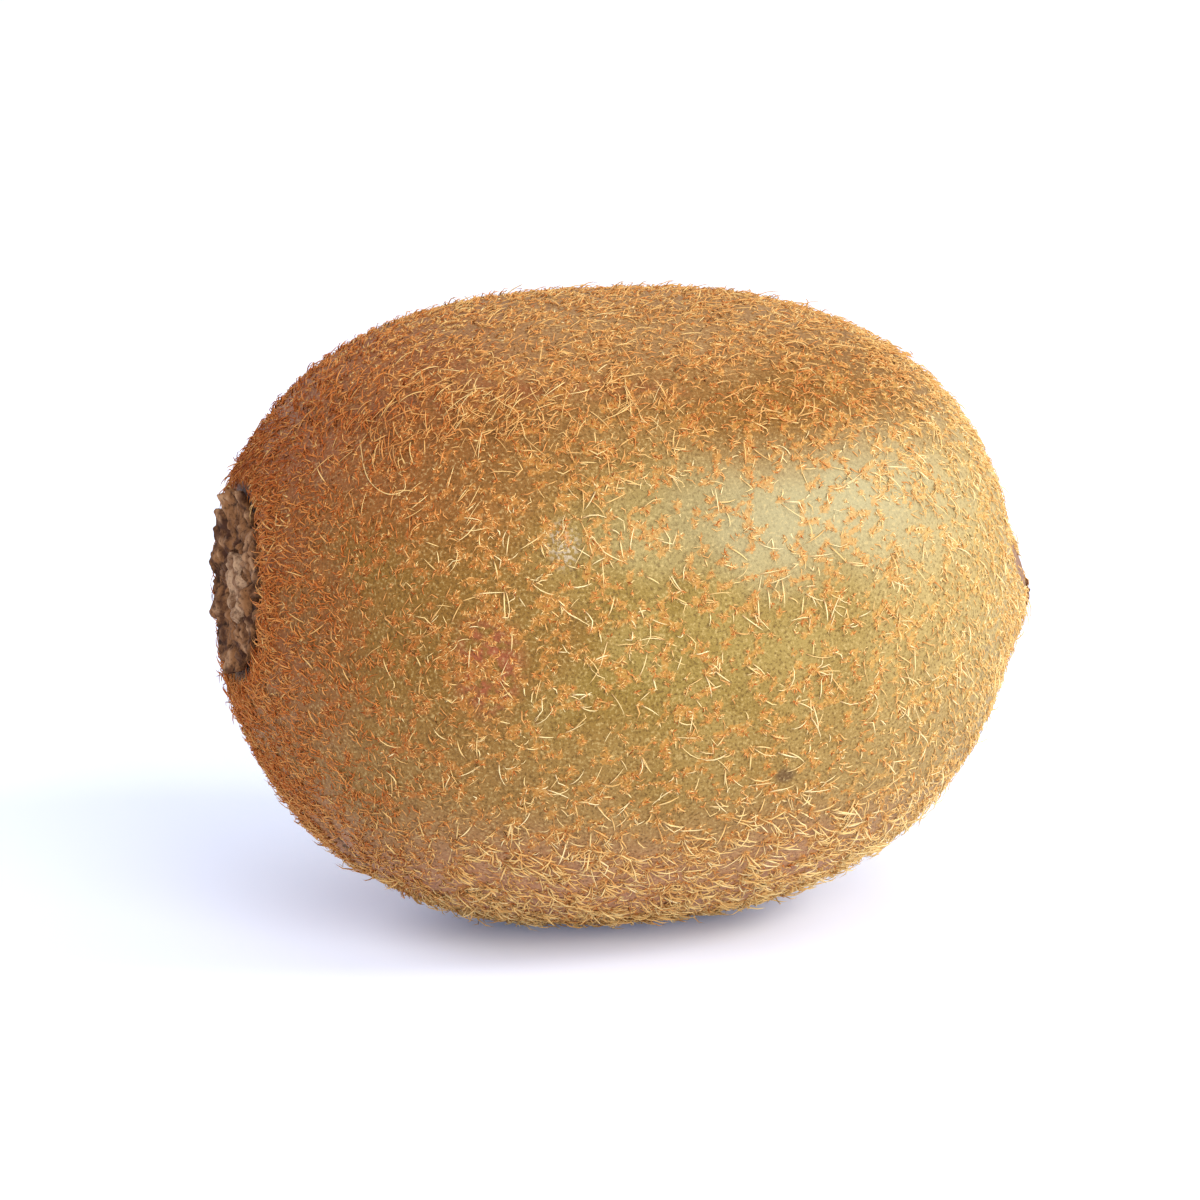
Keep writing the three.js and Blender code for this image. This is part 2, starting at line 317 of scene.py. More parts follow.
def grid_faces(rings, columns):
    """Quads of a grid that closes on itself from its last column to its first, with their (u, v)."""
    ring, column = np.meshgrid(np.arange(rings - 1), np.arange(columns), indexing="ij")
    ring, column = ring.ravel(), column.ravel()
    after = (column + 1) % columns
    quads = np.stack([
        ring * columns + column,
        ring * columns + after,
        (ring + 1) * columns + after,
        (ring + 1) * columns + column,
    ], 1)
    u = np.stack([column, column + 1, column + 1, column], 1) / columns
    v = np.stack([ring, ring, ring + 1, ring + 1], 1) / (rings - 1)
    return quads, np.stack([u, v], -1)


def end_fans(rings, columns):
    """Triangles from a grid's first and last rings to the two points that follow the grid's own."""
    column = np.arange(columns)
    after = (column + 1) % columns
    last = (rings - 1) * columns
    pole = np.full(columns, rings * columns)
    first_fan = np.stack([after, column, pole], 1)
    last_fan = np.stack([last + column, last + after, pole + 1], 1)
    return first_fan.tolist() + last_fan.tolist()


def end_fan_uvs(columns):
    """The (u, v) of two such fans, in the thin margins at the map's bottom and top."""
    column = np.arange(columns)
    u = np.stack([column + 1, column, column + 0.5], 1) / columns
    first = np.stack([u, np.tile([POLE_MARGIN, POLE_MARGIN, 0.0], (columns, 1))], -1)
    last = np.stack([u[:, [1, 0, 2]], np.tile([1 - POLE_MARGIN, 1 - POLE_MARGIN, 1.0], (columns, 1))], -1)
    return np.vstack([first.reshape(-1, 2), last.reshape(-1, 2)])


class Graph:
    """Builds one material's nodes. An input takes a number, a colour or another node's output."""

    def __init__(self, name, shader_values):
        self.material = bpy.data.materials.new(name)
        self.material.use_nodes = True
        self.tree = self.material.node_tree
        self.shader = self.tree.nodes["Principled BSDF"]
        for key, value in shader_values.items():
            self.shader.inputs[key].default_value = value

    def add(self, kind, inputs=None, **settings):
        made = self.tree.nodes.new("ShaderNode" + kind)
        for key, value in settings.items():
            setattr(made, key, value)
        for key, value in (inputs or {}).items():
            self.put(made.inputs[key], value)
        return made

    def put(self, socket, value):
        if isinstance(value, bpy.types.NodeSocket):
            self.tree.links.new(value, socket)
        else:
            socket.default_value = value

    def math(self, operation, *values):
        return self.add("Math", dict(enumerate(values)), operation=operation).outputs[0]

    def plus(self, first, second):
        return self.math("ADD", first, second)

    def minus(self, first, second):
        return self.math("SUBTRACT", first, second)

    def times(self, first, *others):
        for other in others:
            first = self.math("MULTIPLY", first, other)
        return first

    def smooth(self, value, start, end):
        """0 before start, 1 after end and a smooth rise between them. start may be the larger."""
        inputs = {"Value": value, "From Min": start, "From Max": end}
        return self.add("MapRange", inputs, interpolation_type="SMOOTHSTEP").outputs["Result"]

    def mix(self, share, first, second):
        return self.add("Mix", {0: share, 6: first, 7: second}, data_type="RGBA").outputs[2]

    def noise(self, vector, size, detail=2.0, roughness=0.5):
        inputs = {"Vector": vector, "Scale": 1 / size, "Detail": detail, "Roughness": roughness}
        return self.add("TexNoise", inputs).outputs["Fac"]

    def uneven(self, vector, reach, size, detail=2.0, roughness=0.5):
        """A value that wanders between -reach and reach."""
        return self.math("MULTIPLY_ADD", self.noise(vector, size, detail, roughness), 2 * reach, -reach)

    def places(self):
        """Position in millimetres, as a vector and as x, y and z."""
        source = self.add("TexCoord").outputs["Object"]
        vector = self.add("VectorMath", {0: source, "Scale": 1 / MM}, operation="SCALE").outputs[0]
        parts = self.add("SeparateXYZ", {0: vector}).outputs
        return vector, parts[0], parts[1], parts[2]

    def from_line(self, vector, start, end):
        """The distance from a straight line between two points."""
        start, end = Vector(start), Vector(end)
        whole = end - start
        offset = self.add("VectorMath", {0: vector, 1: start}, operation="SUBTRACT").outputs[0]
        along = self.add("VectorMath", {0: offset, 1: whole / whole.length_squared}, operation="DOT_PRODUCT")
        share = self.add("Clamp", {"Value": along.outputs["Value"]}).outputs[0]
        foot = self.add("VectorMath", {0: whole, "Scale": share}, operation="SCALE").outputs[0]
        return self.add("VectorMath", {0: offset, 1: foot}, operation="DISTANCE").outputs["Value"]

    def bump(self, height, depth, strength):
        inputs = {"Height": height, "Distance": depth * MM, "Strength": strength}
        self.put(self.shader.inputs["Normal"], self.add("Bump", inputs).outputs["Normal"])


def colour(red, green, blue):
    """A linear colour from the usual screen values of 0 to 255."""
    screen = np.array([red, green, blue]) / 255
    linear = np.where(screen > 0.04045, ((screen + 0.055) / 1.055) ** 2.4, screen / 12.92)
    return (*linear.tolist(), 1.0)


# Tones that come in along the fruit and up it: where each starts and is whole, how strong it is, and the tone
TONES_ALONG = (
    (-2.0, -16.0, 1.0, (129, 90, 30)),
    (-22.0, -30.0, 1.0, (138, 76, 28)),
    (0.0, 28.0, 1.0, (174, 148, 90)),
)
TONES_UP = (
    (27.0, 15.0, 0.5, (150, 112, 60)),
    (36.0, 47.0, 0.7, (158, 109, 68)),
    # Paler and pinker low down: painted light thrown up from the floor.
    (16.0, 4.0, 0.8, (178, 122, 92)),
)


class SkinGraph(Graph):
    """The skin's material. Tones are laid over each other in it, each as far as its own masks let it."""

    def __init__(self):
        super().__init__("kiwi_skin", {"Specular IOR Level": 0.2})
        self.at, self.x, self.y, self.z = self.places()
        wander = self.uneven(self.at, 7.0, 7)
        self.along = self.plus(self.x, wander)
        self.up = self.math("MULTIPLY_ADD", wander, 0.45, self.z)
        self.front = self.smooth(self.y, 2.0, -6.0)
        self.grain = self.noise(self.at, 0.23, 3, 0.6)
        # The sheen: a pale painted highlight where the lights glance off the upper front.
        self.sheen = self.patch(SHEEN, 0.9, wanders=True)
        olives = self.smooth(self.noise(self.at, 5, 3), 0.35, 0.65)
        self.tint = self.mix(olives, colour(134, 106, 38), colour(150, 124, 60))

    def lay(self, tone, strength, *masks):
        """Lays a screen colour or another node's colour over the tint, where every mask lets it through."""
        top = tone if isinstance(tone, bpy.types.NodeSocket) else colour(*tone)
        self.tint = self.mix(self.times(strength, *masks), self.tint, top)

    def patch(self, place, soft, wanders=False):
        """1 inside an oval patch on the front, and 0 outside it. Its edge is even or wanders."""
        middle, radii = place
        x, z = (self.along, self.up) if wanders else (self.x, self.z)
        across = self.math("DIVIDE", self.minus(x, middle[0]), radii[0])
        high = self.math("DIVIDE", self.minus(z, middle[1]), radii[1])
        squares = self.plus(self.math("POWER", across, 2.0), self.math("POWER", high, 2.0))
        return self.times(self.smooth(self.math("SQRT", squares), 1 + soft, 1 - soft), self.front)

    def broken(self, size, start, end):
        """Small blotches that break a mark up."""
        return self.smooth(self.noise(self.at, size, 3), start, end)

    def lay_zones(self):
        """Ruddier at the stem end, paler at the blossom end, browner at the top, and paler and pinker at the
        bottom, which is painted light thrown up from the floor.
        """
        for start, end, strength, tone in TONES_ALONG:
            self.lay(tone, strength, self.smooth(self.along, start, end))
        for start, end, strength, tone in TONES_UP:
            self.lay(tone, strength, self.smooth(self.up, start, end))
        self.lay((142, 75, 30), 0.85, self.smooth(self.along, -6.0, -20.0), self.smooth(self.up, 32.0, 41.0))
        # Painted highlight: the pale sheen.
        self.lay((172, 162, 122), 0.7, self.sheen)
        self.lay((120, 76, 10), 0.85, self.patch(DARK_BAND, 0.9, wanders=True))
        # Painted shade under the crease.
        self.lay((122, 80, 26), 0.6, self.patch(SHADE_UNDER_CREASE, 0.7, wanders=True))

    def lay_crease(self):
        fall = self.times(self.math("POWER", self.minus(self.x, CREASE_TOP_X), 2.0), -CREASE_FALL)
        off = self.math("ABSOLUTE", self.minus(self.minus(self.z, CREASE_TOP), fall))
        starts = self.smooth(self.x, CREASE_FROM, CREASE_FROM + 5)
        ends = self.smooth(self.x, CREASE_TO + 4, CREASE_TO)
        near = self.smooth(off, 1.3, 0.1)
        self.lay((128, 62, 24), 0.6, near, starts, ends, self.front, self.broken(0.8, 0.35, 0.6))

    def lay_marks(self):
        """The bruise, the scuff, the dark spot, painted shade in the slit and on the dish's floor, and the
        mark beside the tip.
        """
        self.lay((152, 74, 46), 0.8, self.patch(BRUISE, 0.5), self.broken(0.9, 0.35, 0.6))
        self.lay((196, 180, 156), 0.6, self.patch(SCUFF, 0.5), self.broken(0.3, 0.45, 0.6))
        self.lay((82, 54, 34), 0.7, self.patch(SPOT, 0.4))
        # Painted shade down in the slit.
        slit = self.plus(self.from_line(self.at, *SLIT), self.uneven(self.at, 0.8, 1.1, 3))
        self.lay((40, 24, 16), 0.95, self.smooth(slit, 0.9, 0.4))
        # Painted shade on the dish's floor, round the stalk under the crust.
        dish = self.smooth(self.from_line(self.at, *STEM_AXIS), 8.6, 7.4)
        self.lay((84, 44, 22), 0.9, dish, self.smooth(self.x, -20.0, -24.0))
        tip = self.plus(self.from_line(self.at, *TIP_MARK), self.uneven(self.at, 1.2, 0.9, 3, 0.6))
        self.lay((134, 78, 44), 0.85, self.smooth(tip, 2.2, 0.9))

    def lay_pads(self):
        """Rusty, ragged spots under the clumps of hairs."""
        away = self.add("Attribute", attribute_name="clump").outputs["Fac"]
        ragged = self.plus(away, self.uneven(self.at, 1.0, 0.35, 3, 0.7))
        rust = self.mix(self.smooth(self.along, 0.0, 30.0), colour(196, 132, 54), colour(214, 164, 80))
        rust = self.mix(self.smooth(self.along, -8.0, -24.0), rust, colour(172, 94, 34))
        self.lay(rust, 0.54, self.smooth(ragged, 1.05, 0.8))

    def lay_grain(self):
        """Fine dark pores, fewer in the painted sheen highlight, and fine pale scurf."""
        pores = self.math("MULTIPLY_ADD", self.sheen, -0.45, 0.65)
        self.lay((84, 56, 12), pores, self.smooth(self.grain, 0.48, 0.34))
        self.lay((216, 186, 124), 0.38, self.smooth(self.grain, 0.54, 0.68))

    def finish(self):
        self.put(self.shader.inputs["Base Color"], self.tint)
        rough = self.math("MULTIPLY_ADD", self.smooth(self.z, 40.0, 46.0), 0.2, 0.36)
        self.put(self.shader.inputs["Roughness"], self.math("MULTIPLY_ADD", self.grain, 0.25, rough))
        self.bump(self.plus(self.grain, self.times(self.noise(self.at, 1.1), 0.6)), 0.12, 0.7)
        return self.material


def skin_material():
    g = SkinGraph()
    g.lay_zones()
    g.lay_crease()
    g.lay_marks()
    g.lay_pads()
    g.lay_grain()
    return g.finish()


HAIR_TONES = (
    (0.0, colour(120, 52, 16)),
    (0.2, colour(185, 96, 38)),
    (0.35, colour(210, 133, 66)),
    (0.5, colour(220, 160, 91)),
    (0.65, colour(230, 182, 110)),
    (0.8, colour(240, 204, 134)),
    (1.0, colour(252, 228, 170)),
)


def hair_material():
    """Across the map from left to right hairs run from rust to cream, and up it from root to tip."""
    g = Graph("kiwi_fuzz", {"Roughness": 0.6, "Specular IOR Level": 0.12})
    uv = g.add("SeparateXYZ", {0: g.add("UVMap", uv_map="OFBake").outputs["UV"]}).outputs
    tones = g.add("ValToRGB", {"Fac": uv[0]})
    stops = tones.color_ramp.elements
    stops[0].color = HAIR_TONES[0][1]
    stops[1].color = HAIR_TONES[-1][1]
    for place, tone in HAIR_TONES[1:-1]:
        stops.new(place).color = tone
    root = g.times(g.smooth(uv[1], 0.4, 0.0), 0.4)
    g.put(g.shader.inputs["Base Color"], g.mix(root, tones.outputs["Color"], colour(176, 98, 40)))
    return g.material


def dry_material(name, dark, pale, size, crests=None):
    """A dead, papery part: two browns in blotches, with a rough, wrinkled surface and painted shade in its
    low wrinkles, and maybe painted highlights on its crests with painted shade in the creases between them.
    """
    g = Graph(name, {"Roughness": 0.85, "Specular IOR Level": 0.15})
    at = g.places()[0]
    blotch = g.smooth(g.noise(at, size, 4, 0.65), 0.36, 0.62)
    tint = g.mix(blotch, dark, pale)
    # Painted shade, for the creases between the crests and the low wrinkles of the fine bump.
    shade = tuple(0.3 * c for c in dark[:3]) + (1.0,)
    if crests:
        crest = g.add("Attribute", attribute_name="crest").outputs["Fac"]
        # Painted highlights on the crests, then painted shade in the creases between them.
        tint = g.mix(g.times(g.smooth(crest, 0.5, 0.9), g.smooth(g.noise(at, 2.4), 0.4, 0.6)), tint, crests)
        tint = g.mix(g.times(g.smooth(crest, 0.32, 0.08), 0.9), tint, shade)
    fine = g.noise(at, size / 5, 3, 0.6)
    # Painted shade in the low wrinkles of the fine bump.
    tint = g.mix(g.times(g.smooth(fine, 0.5, 0.3), 0.6), tint, shade)
    g.put(g.shader.inputs["Base Color"], tint)
    g.bump(g.plus(fine, blotch), 0.15, 0.9)
    return g.material


def skin_mesh():
    """Points and faces of the fine skin, from the stem end's pole to the blossom end's."""
    angle = np.linspace(0, np.pi, SKIN_RINGS + 2)[1:-1]
    roll = np.arange(SKIN_COLUMNS) * TURN / SKIN_COLUMNS
    angle, roll = np.meshgrid(angle, roll, indexing="ij")
    directions = np.stack([
        -np.cos(angle) * STEM_HALF_LENGTH,
        -np.sin(angle) * np.cos(roll) * HALF_WIDTH,
        np.sin(angle) * np.sin(roll) * HALF_HEIGHT,
    ], -1).reshape(-1, 3)
    poles = np.array([[-1.0, 0, 0], [1.0, 0, 0]])
    directions = unit(np.vstack([directions, poles]))
    points = skin_points(directions)
    for size, height in PEBBLES:
        points += directions * (height * noise_at(points, size))[:, None]
    points -= directions * (CREASE_DEPTH * crease_share(*points.T))[:, None]
    points[:, 2] = np.maximum(points[:, 2], 0)
    quads, uvs = grid_faces(SKIN_RINGS, SKIN_COLUMNS)
    faces = quads.tolist() + end_fans(SKIN_RINGS, SKIN_COLUMNS)
    uvs[..., 1] = POLE_MARGIN + (1 - 2 * POLE_MARGIN) * uvs[..., 1]
    corners = np.vstack([uvs.reshape(-1, 2), end_fan_uvs(SKIN_COLUMNS)])
    return points, quads, faces, corners


class Skin:
    """The faces of the skin, where hairs may root: the corners, middle, normal and area of each."""

    def __init__(self, points, quads, clumps=None):
        self.clumps = clumps
        a, b, c, d = (points[quads[:, i]] for i in range(4))
        across = np.cross(c - a, d - b)
        self.middle = (a + b + c + d) / 4
        self.area = np.linalg.norm(across, axis=1) / 2
        outward = unit(across)
        away = self.middle - (0, 0, CENTRE_HEIGHT)
        self.normal = outward * np.sign((outward * away).sum(1))[:, None]
        self.corners = (a, b, c, d)

    def scatter(self, count, density):
        """Roots and normals of count hairs, as thick on each face as density says there."""
        weight = self.area * density(*self.middle.T)
        chosen = rng.choice(len(weight), count, p=weight / weight.sum())
        a, b, c, d = (corner[chosen] for corner in self.corners)
        s, t = rng.random((2, count, 1))
        roots = (a * (1 - s) + b * s) * (1 - t) + (d * (1 - s) + c * s) * t
        return roots, self.normal[chosen]


def tubes(spots, radii, tones):
    """Tapered tubes along rows of points, closed at the root and pointed at the tip."""
    count, stations = spots.shape[:2]
    rings = stations - 1
    heads = unit(np.gradient(spots, axis=1))
    flat = unit(np.cross(heads, np.roll(heads, 1, axis=2) + (0.3, 0.1, 0.7)))
    other = np.cross(heads, flat)
    turn = np.arange(HAIR_SIDES) * TURN / HAIR_SIDES
    circle = flat[:, :rings, None] * np.cos(turn)[:, None] + other[:, :rings, None] * np.sin(turn)[:, None]
    ring_points = spots[:, :rings, None] + circle * radii[:, :rings, None, None]
    points = np.concatenate([ring_points.reshape(count, -1, 3), spots[:, -1:]], 1)

    faces, corners = [], []
    for ring in range(rings):
        for side in range(HAIR_SIDES):
            here, there = side, (side + 1) % HAIR_SIDES
            low = ring * HAIR_SIDES
            if ring == rings - 1:
                faces.append([low + here, low + there, rings * HAIR_SIDES])
                corners.append([(side, ring), (side + 1, ring), (side + 0.5, ring + 1)])
                continue
            high = low + HAIR_SIDES
            faces.append([low + here, low + there, high + there])
            corners.append([(side, ring), (side + 1, ring), (side + 1, ring + 1)])
            faces.append([low + here, high + there, high + here])
            corners.append([(side, ring), (side + 1, ring + 1), (side, ring + 1)])
    faces.append([2, 1, 0])
    corners.append([(2, 0), (1, 0), (0, 0)])
    faces, corners = np.array(faces), np.array(corners, dtype=float)
    each = points.shape[1]
    all_faces = (np.arange(count) * each)[:, None, None] + faces
    u = np.clip(tones, 0.02, 0.97)[:, None, None] + corners[None, ..., 0] * TONE_STEP
    v = np.broadcast_to(corners[None, ..., 1] / rings, u.shape)
    return points.reshape(-1, 3), all_faces.reshape(-1, 3), np.stack([u, v], -1).reshape(-1, 2)


def curved(roots, normals, ways, lengths, rise, fall, swerve, kink, bands):
    """Points along hairs. Each leaves the skin at angle rise, ends at angle fall, swerves and may kink."""
    side = np.cross(normals, ways)
    kinked_from = rng.uniform(0.3, 0.8, len(roots))
    spots = [roots - HAIR_SUNK * normals]
    for band in range(bands):
        share = band / max(bands - 1, 1)
        pitch = (rise + (fall - rise) * share)[:, None]
        yaw = (swerve * share + kink * (share > kinked_from))[:, None]
        head = (ways * np.cos(yaw) + side * np.sin(yaw)) * np.cos(pitch) + normals * np.sin(pitch)
        spots.append(spots[-1] + head * lengths[:, None] / bands)
    spots = np.stack(spots, 1)
    spots[..., 2] = np.maximum(spots[..., 2], HAIR_ABOVE_FLOOR)
    return spots


def tapered(radius, bands, tip):
    """Radii at the stations of hairs, from radius at the root to its share tip at the end."""
    share = np.arange(bands + 1) / bands
    return radius[:, None] * (1 - (1 - tip) * share)


def blend(base, target, share):
    return base + (np.array(target) - base) * share[:, None]


def lie(points):
    """The way hairs lie in each part of the fruit, and how widely they scatter round it, in radians."""
    x, y, z = points.T
    ways = np.tile([0.7, 0.0, -0.7], (len(points), 1))
    spread = np.full((len(points), 1), 1.2)
    low = ramp(-z, -18, -9)
    lowest = ramp(-z, -8, -4)
    top = ramp(z, 34, 42)
    blossom_end = ramp(x, 12, 25)
    stem_end = ramp(-x, 12, 20)
    rim = ramp(-x, 23, 27)
    to_stalk = unit(np.stack([np.full(len(x), -0.6), STEM_OFFSET[0] - y, STEM_AXIS_HEIGHT - z], 1))
    zones = (
        (low, (0.8, 0.0, -0.5), 0.8),
        (lowest, (0.9, -0.1, -0.1), 1.0),
        (top, (0.95, -0.1, 0.25), 0.75),
        (blossom_end, (0.25, 0.0, -0.95), 0.55),
        (stem_end, (0.3, 0.0, 0.9), 0.7),
        (rim, to_stalk, 0.8),
    )
    for share, target, scatter in zones:
        ways = blend(ways, target, share)
        spread = blend(spread, [scatter], share)
    return ways, spread[:, 0]


def turned(ways, normals, angle):
    """Ways laid into the skin and turned about its normal."""
    ways = unit(ways - normals * (ways * normals).sum(1, keepdims=True))
    side = np.cross(normals, ways)
    return ways * np.cos(angle)[:, None] + side * np.sin(angle)[:, None]


def stem_share(x, y, z):
    return ramp(-x, 13, 26)


def blossom_share(x, y, z):
    return ramp(x, 10, 27)


def off_line(points, start, end):
    """How far points are from the straight line between two points."""
    whole = np.subtract(end, start)
    offset = points - start
    share = np.clip(offset @ whole / (whole @ whole), 0, 1)
    return np.linalg.norm(offset - share[..., None] * whole, axis=-1)


def off_stem_axis(y, z):
    return np.hypot(y - STEM_OFFSET[0], z - STEM_AXIS_HEIGHT)


def clear_of_ends(x, y, z):
    """1 where hairs grow, 0 in the dish, on the tip and in the slit, and little on the mark near the tip."""
    spots = np.stack([x, y, z], -1)
    in_dish = off_stem_axis(y, z) < BARE_DISH + BARE_DISH_FAR_SIDE * ramp(y, -1, 4)
    tip_height = CENTRE_HEIGHT + BLOSSOM_LIFT + BUTTON_OFFSET[1]
    on_tip = np.hypot(y - BUTTON_OFFSET[0], z - tip_height) < BARE_TIP
    in_slit = off_line(spots, *SLIT) < BARE_SLIT
    on_mark = off_line(spots, *TIP_MARK) < THIN_MARK
    bare = (in_dish & (x < -END_REGION)) | (on_tip & (x > END_REGION)) | in_slit
    return np.where(bare, 0.0, np.where(on_mark, THIN_MARK_SHARE, 1.0))


def scattered(skin, count, density):
    """Roots, normals and ways of hairs that grow one by one, thicker in some patches than in others."""
    patches = 0.5 + ramp(noise_at(skin.middle, PATCH_SIZE), -0.35, 0.35)
    roots, normals = skin.scatter(count, lambda x, y, z: density(x, y, z) * clear_of_ends(x, y, z) * patches)
    ways, spread = lie(roots)
    return roots, normals, turned(ways, normals, rng.normal(0, spread))


def in_tufts(skin, count, density):
    """Roots, normals and ways of hairs that share their roots, a few to a clump."""
    centres, normals, _ = skin.clumps
    weight = density(*centres.T) * (rng.random(len(centres)) < TUFT_SHARE)
    ways, spread = lie(centres)
    ways = turned(ways, normals, rng.normal(0, spread))
    chosen = rng.choice(len(centres), count, p=weight / weight.sum())
    normals = normals[chosen]
    ways = turned(ways[chosen], normals, rng.normal(0, TUFT_FAN, count))
    return centres[chosen] + ways * rng.uniform(0, TUFT_RADIUS, (count, 1)), normals, ways


def grow_hairs(name, places, material, tone, length, radius, rise, bands, kinks=0.3):
    """One piece of fuzz. length and rise are (least, most), and tone gives a hair's colour from its place.

    bands is the number of straight runs in a hair, and kinks is the share of hairs with a sharp kink.
    """
    roots, normals, ways = places
    count = len(roots)
    long = length[0] + (length[1] - length[0]) * rng.random(count) ** 1.5
    lift = np.radians(rng.uniform(rise[0], rise[1], count))
    fall = np.radians(rng.uniform(-30, 10, count))
    swerve = rng.normal(0, 0.45, count)
    kink = rng.normal(0, 1.1, count) * (rng.random(count) < kinks)
    spots = curved(roots, normals, ways, long, lift, fall, swerve, kink, bands)
    thick = radius * rng.uniform(0.7, 1.2, count)
    tones = tone(*roots.T) + rng.normal(0, 0.09, count)
    piece = make_object(name, *tubes(spots, tapered(thick, bands, 0.4), tones))
    return belongs(piece, material, "skin", "fruit")


def patch_share(x, y, z, middle, radii):
    """1 in the middle of a patch on the front, and less away from it."""
    return bell(x - middle[0], radii[0]) * bell(z - middle[1], radii[1]) * (y < 0)


def straw_tone(x, y, z):
    stem = stem_share(x, y, z)
    top = ramp(z, 37, 44)
    # Straws are darker in the painted shade under the crease.
    change = -0.3 * stem - 0.08 * ramp(-z, -12, -2) - 0.24 * top - 0.12 * patch_share(x, y, z, *SHADE_UNDER_CREASE)
    return 0.86 + change - 0.08 * stem * top


def end_change(x, y, z, stem, blossom):
    """How hairs differ at the two ends, and that they are darker in the dark band."""
    ends = blossom * blossom_share(x, y, z) - stem * stem_share(x, y, z)
    return ends - 0.16 * patch_share(x, y, z, *DARK_BAND_HAIRS)


def clump_tone(x, y, z):
    # Clumps are paler in the painted sheen highlight.
    change = end_change(x, y, z, 0.17, 0.24) + 0.1 * patch_share(x, y, z, *SHEEN)
    # Clumps are darker in the painted shade under the crease.
    return 0.52 + change - 0.14 * patch_share(x, y, z, *SHADE_UNDER_CREASE)


def fur_tone(x, y, z):
    upper_left = ramp(-x, 4, 16) * ramp(z, 32, 42)
    # Fur is paler low down, which is painted light thrown up from the floor.
    return 0.52 + end_change(x, y, z, 0.22, 0.16) + 0.16 * ramp(-z, -14, -3) - 0.09 * upper_left


def belly_tone(x, y, z):
    # The belly's hairs are pale in their own colour and paler still with painted light thrown up from the
    # floor.
    return 0.66 - 0.2 * stem_share(x, y, z) + 0.14 * ramp(x, 0, 16)


def straw_density(x, y, z):
    return 0.35 + 0.65 * (1 - stem_share(x, y, z)) + 0.5 * ramp(-z, -20, -8)


def rim_density(x, y, z):
    return 0.06 + ramp(-z, -13, -3) + 0.9 * ramp(z, 37, 45)


def clump_density(x, y, z):
    ends = 0.4 * stem_share(x, y, z) + 0.3 * blossom_share(x, y, z)
    return 1 - ends + 1.2 * patch_share(x, y, z, *BRUISE)


def stem_density(x, y, z):
    return (0.32 + 0.6 * ramp(-z, -20, -10)) * stem_share(x, y, z) + 0.68 * ramp(-x, 23, 27.5)


def collar_density(x, y, z):
    """Thick round the rim of the dish, where the fuzz is long and matted."""
    return bell(off_stem_axis(y, z) - 9.0, 2.2) * (x < -END_REGION)


def belly_density(x, y, z):
    return ramp(-z, -16, -7) * (1 - 0.5 * stem_share(x, y, z)) * (z > 0.5)


def add_fuzz(skin, material):
    """Every kind of hair, from tufts of long ones to matted spots."""
    grow_hairs("straw_hairs", in_tufts(skin, 5200, straw_density), material, straw_tone,
               length=(0.7, 2.5), radius=0.066, rise=(8, 40), bands=4, kinks=0.4)
    grow_hairs("belly_hairs", in_tufts(skin, 3600, belly_density), material, belly_tone,
               length=(1.0, 2.6), radius=0.08, rise=(8, 45), bands=3, kinks=0.4)
    grow_hairs("stem_collar", scattered(skin, 1700, collar_density), material, fur_tone,
               length=(0.8, 2.2), radius=0.068, rise=(10, 50), bands=4, kinks=0.6)
    grow_hairs("stem_fur", scattered(skin, 12000, stem_density), material, fur_tone,
               length=(0.5, 1.7), radius=0.07, rise=(8, 45), bands=2, kinks=0.5)
    grow_hairs("blossom_fur", scattered(skin, 11500, blossom_share), material, fur_tone,
               length=(0.5, 1.5), radius=0.07, rise=(8, 40), bands=2)
    grow_hairs("rim_fur", scattered(skin, 11500, rim_density), material, fur_tone,
               length=(0.6, 1.9), radius=0.07, rise=(8, 45), bands=2, kinks=0.5)
    half = CLUMPS // 2
    add_clumps("rust_clumps_a", skin, material, slice(0, half))
    add_clumps("rust_clumps_b", skin, material, slice(half, CLUMPS))
    add_fringe("crease_fringe", skin, material)
    add_strays("stray_hairs", material)


def add_clumps(name, skin, material, chosen, each=5):
    """Matted spots of very short, straight hairs that fan out over each pad."""
    roots, normals, sizes = (np.repeat(part[chosen], each, 0) for part in skin.clumps)
    count = len(roots)
    ways = turned(np.tile([1.0, 0.2, 0.1], (count, 1)), normals, rng.uniform(0, TURN, count))
    roots = roots + ways * (sizes * rng.uniform(0, 0.6, count))[:, None]
    ways = turned(ways, normals, rng.uniform(0, TURN, count))
    lift = np.radians(rng.uniform(5, 50, count))
    long = 0.15 + sizes * rng.uniform(0.6, 1.4, count)
    none = np.zeros(count)
    spots = curved(roots, normals, ways, long, lift, lift, none, none, 1)
    tones = clump_tone(*roots.T) + rng.normal(0, 0.17, count)
    piece = make_object(name, *tubes(spots, tapered(rng.uniform(0.07, 0.11, count), 1, 0.5), tones))
    return belongs(piece, material, "skin", "fruit")


def add_fringe(name, skin, material, count=330, bands=6):
    """Longer hairs that hang from the crease below the ridge, leaning towards the stem end."""
    def near_crease(x, y, z):
        run = ramp(x, CREASE_FROM, CREASE_FROM + 4) * (1 - ramp(x, CREASE_TO - 4, CREASE_TO + 4))
        return run * bell(z - crease_height(x) + 0.5, 1.6) * (y < 0) + 1e-9

    roots, normals = skin.scatter(count, near_crease)
    ways = turned(np.tile([-0.35, -0.8, -0.6], (count, 1)), normals, rng.normal(0, 0.5, count))
    lift = np.radians(rng.uniform(5, 35, count))
    long = rng.uniform(1.2, 3.4, count)
    swerve = rng.normal(0, 0.5, count)
    spots = curved(roots, normals, ways, long, lift, lift - 0.7, swerve, np.zeros(count), bands)
    tones = straw_tone(*roots.T) + rng.normal(0.04, 0.12, count)
    piece = make_object(name, *tubes(spots, tapered(rng.uniform(0.04, 0.065, count), bands, 0.4), tones))
    return belongs(piece, material, "skin", "fruit")


